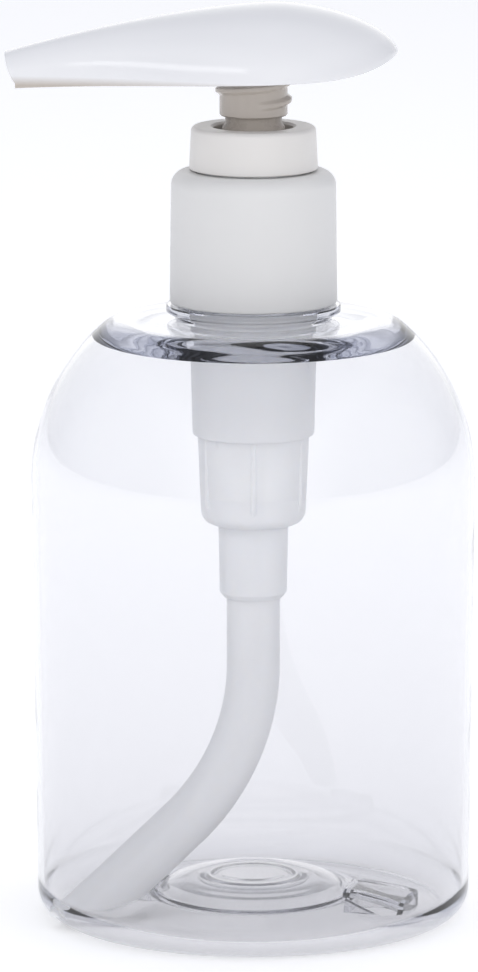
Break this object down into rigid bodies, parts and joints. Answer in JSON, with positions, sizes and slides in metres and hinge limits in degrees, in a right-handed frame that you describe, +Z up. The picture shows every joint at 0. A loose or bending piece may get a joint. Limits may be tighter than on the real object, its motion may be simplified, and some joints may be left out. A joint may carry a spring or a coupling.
{
  "type": "soap pump dispenser",
  "caption": "Clear domed bottle with a screw-on lotion pump: saddle head with a long nozzle, locking ring, spring pump and a curved dip tube.",
  "frame": {"origin": "on the bottle's axis, on the plane that its standing ring rests on", "axes": "+Z up along the bottle's and the pump's common axis; -X the way the nozzle points; +Y to the far side of the head"},
  "size_m": [0.078, 0.074, 0.1536],
  "materials": {
    "clear_pet": "clear glossy blow-moulded PET",
    "gloss_white": "glossy cool white polypropylene",
    "satin_white": "satin white polypropylene",
    "milky": "translucent natural polypropylene",
    "foam": "matt white foamed polyethylene",
    "elastomer": "matt soft polyethylene",
    "spring_steel": "bright drawn stainless wire",
    "glass_ball": "polished soda-lime glass"
  },
  "bodies": {
    "bottle": {"bottle": "clear_pet"},
    "pump_body": {"pump_housing": "milky", "lock_ring": "satin_white", "stem_seal": "elastomer", "neck_gasket": "foam", "ball_retainer": "milky", "dip_tube": "milky"},
    "closure": {"closure": "satin_white"},
    "spring": {"return_spring": "spring_steel"},
    "plunger": {"pump_head": "gloss_white", "stem": "gloss_white", "stem_plug": "satin_white"},
    "piston": {"piston": "milky"},
    "inlet_valve": {"inlet_ball": "glass_ball"}
  },
  "joints": [
    {"name": "pump_lift", "type": "slide", "parent": "bottle", "child": "pump_body", "axis": [0, 0, 1], "range_m": [0, 0.00636]},
    {"name": "closure_turn", "type": "hinge", "parent": "pump_body", "child": "closure", "pos_m": [0, 0, 0.115], "axis": [0, 0, 1], "range_deg": [0, 720]},
    {"name": "head_swivel", "type": "hinge", "parent": "pump_body", "child": "spring", "pos_m": [0, 0, 0.1], "axis": [0, 0, 1], "continuous": true},
    {"name": "head_press", "type": "slide", "parent": "spring", "child": "plunger", "axis": [0, 0, -1], "range_m": [0, 0.005], "stiffness_N_per_m": 1200, "springref_m": -0.008, "deforming": ["return_spring"]},
    {"name": "piston_slip", "type": "slide", "parent": "plunger", "child": "piston", "axis": [0, 0, 1], "range_m": [0, 0.0016]},
    {"name": "ball_lift", "type": "slide", "parent": "pump_body", "child": "inlet_valve", "axis": [0, 0, 1], "range_m": [0, 0.0012]}
  ],
  "couplings": [
    {"joint": "pump_lift", "follows": "closure_turn", "m_per_rad": 0.00050532}
  ]
}
